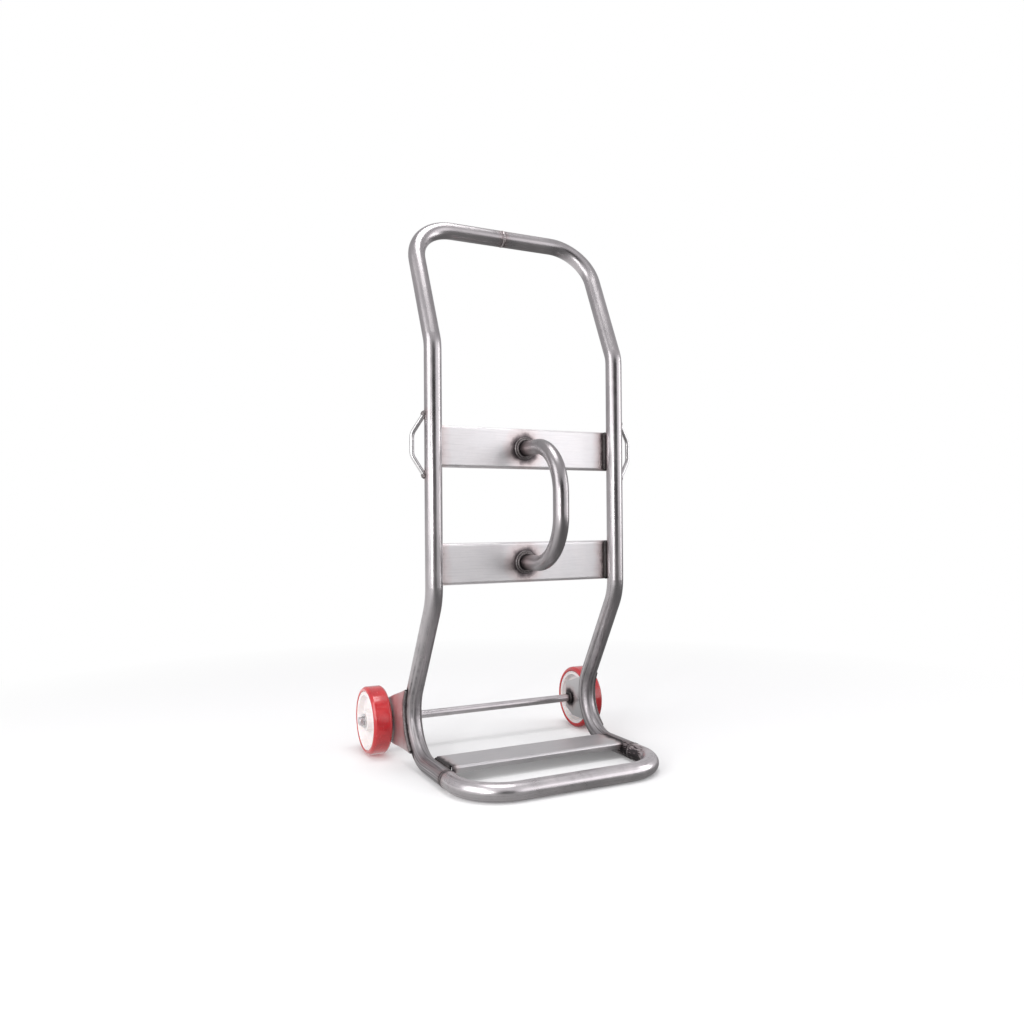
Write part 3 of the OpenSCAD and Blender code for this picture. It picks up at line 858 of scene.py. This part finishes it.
seams = Shape()
for side in SIDES:
    first = Matrix.Rotation(SEAM_OPEN / 2, 3, "Y") @ -Z
    round_tube = ring((side * HALF_SPACING, SEAM_Y, TUBE_R), Y, first, TUBE_R, FULL_TURN - SEAM_OPEN)
    seams.bead(round_tube, BUTT_OUT, BUTT_SIDE, pitch=2.9 * MM, ripple=0.3, sides=18)
seams.finish("toe_beads", "toe_welds", "frame", WELD)

# Two rings round each foot of the grab handle: (out from its tube, ahead of the plate, bead radius)
COLLAR_RINGS = ((4.9 * MM, 1.8 * MM, 2.6 * MM), (1.8 * MM, 4.9 * MM, 2.5 * MM))

collars = Shape()
for z in (UPPER_Z, LOWER_Z):
    for out, ahead, bead_r in COLLAR_RINGS:
        round_foot = ring((0, PLATE_FACE_Y - ahead, z), Y, X, GRAB_R + out)
        collars.bead(round_foot, bead_r, bead_r, pitch=2.7 * MM, ripple=0.14, closed=True)
collars.finish("grab_handle_beads", "grab_handle_welds", "frame", WELD)

PLATE_BEAD_R = 6.4 * MM

upright = Shape()
for side in SIDES:
    for z in (UPPER_Z, LOWER_Z):
        low, high = plate_bead_ends(side, z)
        upright.bead(
            straight(low, high, (-0.4 * side, -1, 0)), PLATE_BEAD_R, PLATE_BEAD_R, pitch=2.6 * MM,
            ripple=0.12, sides=24, swell=0.10)
upright.finish("cross_plate_beads", "cross_plate_welds", "frame", DARK_WELD)

TOE_BEAD_R = 6.9 * MM
TOE_BEAD_IN = 11.25 * MM
TOE_BEAD_BELOW = 5.5 * MM
TOE_BEAD_END = 5 * MM

level = Shape()
for side in SIDES:
    x, z = side * (HALF_SPACING - TOE_BEAD_IN), 2 * TUBE_R - TOE_BEAD_BELOW
    front, back = (x, TOE_PLATE_LOW.y + TOE_BEAD_END, z), (x, TOE_PLATE_HIGH.y - TOE_BEAD_END, z)
    level.bead(
        straight(front, back, Z), TOE_BEAD_R, TOE_BEAD_R, pitch=2.8 * MM, ripple=0.14, sides=24)
level.finish("toe_plate_beads", "toe_plate_welds", "frame", DARK_WELD)

HOOK_LUMP_R = 6.4 * MM

lumps = Shape()
for side in SIDES:
    for end in (-1, 1):
        rod = (side * math.sin(HOOK_SLOPE), 0, -end * math.cos(HOOK_SLOPE))
        lumps.lump(hook_foot(side, end), rod, HOOK_LUMP_R)
lumps.finish("strap_hook_beads", "strap_hook_welds", "frame", WELD)

# Beads between each bracket and the rail's heel, and round the axle on the bracket's inner side
BRACKET_BEAD_R = 3.4 * MM
BRACKET_BEAD_X = BRACKET_IN_X + 2 * MM
BRACKET_BEAD_BELOW = math.radians(53.7)
BRACKET_BEAD_PATH_R = HEEL_R - 1 * MM
AXLE_BEAD_PATH_R = AXLE_R + 2 * MM

curved = Shape()
for side in SIDES:
    first = Matrix.Rotation(-BRACKET_BEAD_BELOW, 3, "X") @ Y
    heel = ring(
        (side * BRACKET_BEAD_X, HEEL_MID.y, HEEL_MID.z), X, first, BRACKET_BEAD_PATH_R,
        BRACKET_BEAD_BELOW + LEG)
    heel = [(point, side * 0.8 * X - 0.6 * out) for point, out in heel]
    curved.bead(heel, BRACKET_BEAD_R, BRACKET_BEAD_R, pitch=2.3 * MM, ripple=0.15)
curved.finish("bracket_beads", "bracket_welds", "frame", WELD)

axle_rings = Shape()
for side in SIDES:
    round_axle = ring((side * BRACKET_BEAD_X, AXLE.y, AXLE.z), X, Z, AXLE_BEAD_PATH_R)
    axle_rings.bead(
        round_axle, BRACKET_BEAD_R, BRACKET_BEAD_R, pitch=2.2 * MM, ripple=0.14, closed=True)
axle_rings.finish("axle_beads", "axle_welds", "frame", DARK_WELD)

WASHER_HIGH_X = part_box("axle_washers")[1].x
WASHER_R = extent("axle_washers", 2) / 2
WASHER_BORE_R = AXLE_R + 0.1 * MM
WASHER_HALF_T = 1 * MM
WASHER_OUTLINE = rounded([
    (-WASHER_HALF_T, WASHER_BORE_R), (WASHER_HALF_T, WASHER_BORE_R),
    (WASHER_HALF_T, WASHER_R), (-WASHER_HALF_T, WASHER_R),
], 0.5 * MM)

washers = Shape()
for side in SIDES:
    for x in (BRACKET_OUT_X + WASHER_HALF_T, WASHER_HIGH_X - WASHER_HALF_T):
        washers.lathe((side * x, AXLE.y, AXLE.z), WASHER_OUTLINE, 96)
washers.finish("washers", "axle_washers", "frame", FASTENER_STEEL)

PIN_X = AXLE_HIGH.x - 6 * MM
PIN_LOW, PIN_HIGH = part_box("split_pins")
PIN_WIRE_R = 0.74 * MM
PIN_EYE_R = 2.4 * MM
PIN_EYE_Z = PIN_HIGH.z - 3.2 * MM
PIN_EYE_FOOT_Z = PIN_EYE_Z - 2.6 * MM
PIN_SPLIT_Z = PIN_LOW.z + 3.1 * MM
PIN_EYE_START = -110
PIN_EYE_TURN = -320
PIN_EYE_STEPS = 30
PIN_LEG_STEPS = 12


def pin_wire():
    """(y, z) points of a split pin: from one bent foot up, round the eye and down to the other."""
    foot = [
        (-3.3 * MM, PIN_LOW.z + 0.7 * MM), (-2.0 * MM, PIN_LOW.z + 1.7 * MM),
        (-1.0 * MM, PIN_SPLIT_Z - 0.4 * MM),
    ]
    leg = []
    for i in range(1, PIN_LEG_STEPS + 1):
        leg.append((-PIN_WIRE_R, PIN_SPLIT_Z + (PIN_EYE_FOOT_Z - PIN_SPLIT_Z) * i / PIN_LEG_STEPS))
    eye = []
    for i in range(1, PIN_EYE_STEPS):
        a = math.radians(PIN_EYE_START + PIN_EYE_TURN * i / PIN_EYE_STEPS)
        eye.append((PIN_EYE_R * math.cos(a), PIN_EYE_Z + PIN_EYE_R * math.sin(a)))
    return foot + leg + eye + [(-y, z) for y, z in (foot + leg)[::-1]]


pins = Shape()
for side in SIDES:
    place = Vector((side * PIN_X, AXLE.y, 0))
    pins.wire([place + Vector((0, y, z)) for y, z in pin_wire()], PIN_WIRE_R)
pins.finish("pins", "split_pins", "frame", FASTENER_STEEL)

# A wheel's sections, as (along the axle, radius) from the wheel's middle
WHEEL_STEPS = 160
TREAD_IN_R = WHEEL_R - 9 * MM
TREAD_SHOULDER_R = WHEEL_R - 3.5 * MM
TREAD_SHOULDER_W = 4.5 * MM
TREAD_OUTLINE = rounded([
    (-WHEEL_HALF_W, TREAD_IN_R), (WHEEL_HALF_W, TREAD_IN_R), (WHEEL_HALF_W, TREAD_SHOULDER_R),
    (WHEEL_HALF_W - TREAD_SHOULDER_W, WHEEL_R), (TREAD_SHOULDER_W - WHEEL_HALF_W, WHEEL_R),
    (-WHEEL_HALF_W, TREAD_SHOULDER_R),
], 4 * MM, 8)
CORE_BORE_R = 11 * MM
HUB_R = 19 * MM
WEB_HALF_T = 6 * MM
WEB_DRAFT = 2 * MM
RIM_IN_R = TREAD_IN_R - 6.5 * MM
RIM_FACE = WHEEL_HALF_W - 0.8 * MM
GROOVE_FLOOR = RIM_FACE - 0.9 * MM
CORE_RIGHT = [
    (WHEEL_HALF_W, CORE_BORE_R), (WHEEL_HALF_W, HUB_R),
    (WEB_HALF_T, HUB_R + WEB_DRAFT), (WEB_HALF_T, RIM_IN_R - WEB_DRAFT),
    (RIM_FACE, RIM_IN_R), (RIM_FACE, RIM_IN_R + 2.2 * MM),
    (GROOVE_FLOOR, RIM_IN_R + 2.8 * MM), (GROOVE_FLOOR, TREAD_IN_R - 2.2 * MM),
    (RIM_FACE, TREAD_IN_R - 1.6 * MM), (RIM_FACE, TREAD_IN_R),
]
CORE_OUTLINE = rounded(CORE_RIGHT + [(-x, r) for x, r in CORE_RIGHT[::-1]], 1.2 * MM, 4)

for side, name in SIDE_NAMES:
    hub = Vector((side * TRACK_HALF, AXLE.y, AXLE.z))
    tread = Shape()
    tread.lathe(hub, TREAD_OUTLINE, WHEEL_STEPS)
    tread.finish(name + "_tyre", name + "_tread", name + "_wheel", TREAD)
    core = Shape()
    core.lathe(hub, CORE_OUTLINE, WHEEL_STEPS)
    core.finish(name + "_core", name + "_wheel_core", name + "_wheel", CORE)

# ---- Camera ----

CAMERA_PLACE = Vector((-0.69692, -1.3866, 0.43523))
CAMERA_YAW = math.radians(26.33)
CAMERA_PITCH = math.radians(0.51)
CAMERA_ROLL = math.radians(-0.40)
CAMERA_LENS = 29.888
CAMERA_SENSOR = 36


def add_camera():
    level = math.cos(CAMERA_PITCH)
    ahead = Vector((
        level * math.sin(CAMERA_YAW), level * math.cos(CAMERA_YAW), math.sin(CAMERA_PITCH)))
    level_right = Vector((math.cos(CAMERA_YAW), -math.sin(CAMERA_YAW), 0))
    level_up = level_right.cross(ahead)
    right = math.cos(CAMERA_ROLL) * level_right + math.sin(CAMERA_ROLL) * level_up
    up = math.cos(CAMERA_ROLL) * level_up - math.sin(CAMERA_ROLL) * level_right
    turned = Matrix((right, up, -ahead)).transposed().to_4x4()
    camera = bpy.data.objects.new("camera", bpy.data.cameras.new("camera"))
    bpy.context.collection.objects.link(camera)
    camera.matrix_world = Matrix.Translation(CAMERA_PLACE) @ turned
    camera.data.lens = CAMERA_LENS
    camera.data.sensor_width = CAMERA_SENSOR
    bpy.context.scene.camera = camera


add_camera()

# ---- Studio ----

bpy.context.scene.view_settings.view_transform = "Standard"

# The room that the metal reflects: a pale level that changes from the truck's front to its back, a
# dark doorway and a bright window in front of the truck, each given by its yaw from straight ahead
ROOM_COLOUR = (0.99, 0.98, 1, 1)
ROOM_AXIS = (math.sin(CAMERA_YAW), math.cos(CAMERA_YAW), 0.1)
ROOM_FRONT, ROOM_BACK = 0.80, 0.62
ROOM_FADE = (-0.45, 0.35)
DOOR_YAW = math.radians(-11)
DOOR_AXIS = (math.sin(DOOR_YAW), -math.cos(DOOR_YAW), 0)
DOOR_INNER, DOOR_OUTER = math.radians(22), math.radians(34)
DOOR_DARK = 0.0
WINDOW_YAW = math.radians(42)
WINDOW_AXIS = (math.sin(WINDOW_YAW), -math.cos(WINDOW_YAW), 0.05)
WINDOW_INNER, WINDOW_OUTER = math.radians(16), math.radians(34)
WINDOW_BRIGHT = 2.3

FLOOR_HALF = 12.0
FLOOR_NEAR, FLOOR_FAR = 0.6, 1.6
FLOOR_GREY = (0.80, 0.80, 0.80, 1)
FLOOR_SIDE = (-0.9, 0.35, 0)
FLOOR_FADE = (-0.1, 0.6)
FLOOR_DIM, FLOOR_BRIGHT = 0.24, 1.1

# Area lights: name, place, what it is aimed at, width and height, watts
LIGHTS = (
    ("key", (-2.0, -0.5, 1.2), (0, 0, 0.45), (1.2, 1.7), 17),
    ("top", (0.0, -0.2, 2.8), (0, 0, 0.3), (1.2, 1.2), 24),
    ("fill", (2.2, -0.9, 0.9), (0, 0, 0.4), (0.7, 1.6), 12),
    ("spark", (-1.30, -1.25, 0.50), (-0.2, 0.2, 0.08), (0.13, 0.13), 7),
)


def studio_world():
    """White to the eye. In the metal: the pale room with its doorway and its window."""
    world = bpy.data.worlds.new("studio")
    world.use_nodes = True
    tree = world.node_tree
    backdrop = tree.nodes["Background"]
    backdrop.inputs["Color"].default_value = WHITE
    backdrop.inputs["Strength"].default_value = 1.0
    room = tree.nodes.new("ShaderNodeBackground")
    room.inputs["Color"].default_value = ROOM_COLOUR
    way = tree.nodes.new("ShaderNodeTexCoord").outputs["Generated"]

    def shade(axis, start, end, low, high):
        turn = tree.nodes.new("ShaderNodeVectorMath")
        turn.operation = "DOT_PRODUCT"
        turn.inputs[1].default_value = axis
        tree.links.new(way, turn.inputs[0])
        fade = tree.nodes.new("ShaderNodeMapRange")
        fade.interpolation_type = "SMOOTHSTEP"
        limits = {"From Min": start, "From Max": end, "To Min": low, "To Max": high}
        for socket, value in limits.items():
            fade.inputs[socket].default_value = value
        tree.links.new(turn.outputs["Value"], fade.inputs["Value"])
        return fade.outputs["Result"]

    total = shade(ROOM_AXIS, *ROOM_FADE, ROOM_FRONT, ROOM_BACK)
    doorway = shade(DOOR_AXIS, math.cos(DOOR_OUTER), math.cos(DOOR_INNER), 1.0, DOOR_DARK)
    window = shade(WINDOW_AXIS, math.cos(WINDOW_OUTER), math.cos(WINDOW_INNER), 1.0, WINDOW_BRIGHT)
    for part in (doorway, window):
        both = tree.nodes.new("ShaderNodeMath")
        both.operation = "MULTIPLY"
        tree.links.new(total, both.inputs[0])
        tree.links.new(part, both.inputs[1])
        total = both.outputs[0]
    tree.links.new(total, room.inputs["Strength"])
    seen = tree.nodes.new("ShaderNodeLightPath").outputs["Is Camera Ray"]
    pick = tree.nodes.new("ShaderNodeMixShader")
    tree.links.new(seen, pick.inputs[0])
    tree.links.new(room.outputs[0], pick.inputs[1])
    tree.links.new(backdrop.outputs[0], pick.inputs[2])
    tree.links.new(pick.outputs[0], tree.nodes["World Output"].inputs["Surface"])
    bpy.context.scene.world = world


def floor_material():
    """To the eye: a matt floor near the truck that fades to white. In the metal: brighter to the left."""
    look = Look("floor", Roughness=0.7, Base_Color=FLOOR_GREY)
    look.surface(Specular_IOR_Level=0.1, Emission_Color=WHITE, Emission_Strength=0.10)
    glow = look.add("Emission", {"Color": WHITE, "Strength": 1.0})
    aside = look.vector("DOT_PRODUCT", look.place, Vector(FLOOR_SIDE))
    level = look.spread(aside, *FLOOR_FADE, FLOOR_DIM, FLOOR_BRIGHT)
    dim = look.add("Emission", {"Color": WHITE, "Strength": level})
    away = look.vector("LENGTH", look.vector("MULTIPLY", look.place, (1, 1, 0)))
    seen = look.add("LightPath").outputs["Is Camera Ray"]
    far = look.spread(away, FLOOR_NEAR, FLOOR_FAR)
    shown = look.add("MixShader", {0: far, 1: look.shader.outputs[0], 2: glow.outputs[0]})
    both = look.add("MixShader", {0: seen, 1: dim.outputs[0], 2: shown.outputs[0]})
    look.tree.links.new(both.outputs[0], look.tree.nodes["Material Output"].inputs["Surface"])
    return look.material


def add_floor():
    half = FLOOR_HALF
    mesh = bpy.data.meshes.new("floor")
    corners = [(-half, -half, 0), (half, -half, 0), (half, half, 0), (-half, half, 0)]
    mesh.from_pydata(corners, [], [(0, 1, 2, 3)])
    mesh.materials.append(floor_material())
    made = bpy.data.objects.new("floor", mesh)
    bpy.context.collection.objects.link(made)


def soft_light(name, place, aim, sides, power):
    light = bpy.data.lights.new(name, "AREA")
    light.shape = "RECTANGLE"
    light.size, light.size_y = sides
    light.energy = power
    lamp = bpy.data.objects.new(name, light)
    bpy.context.collection.objects.link(lamp)
    lamp.location = place
    lamp.rotation_euler = (Vector(aim) - Vector(place)).to_track_quat("-Z", "Y").to_euler()


studio_world()
add_floor()
for row in LIGHTS:
    soft_light(*row)
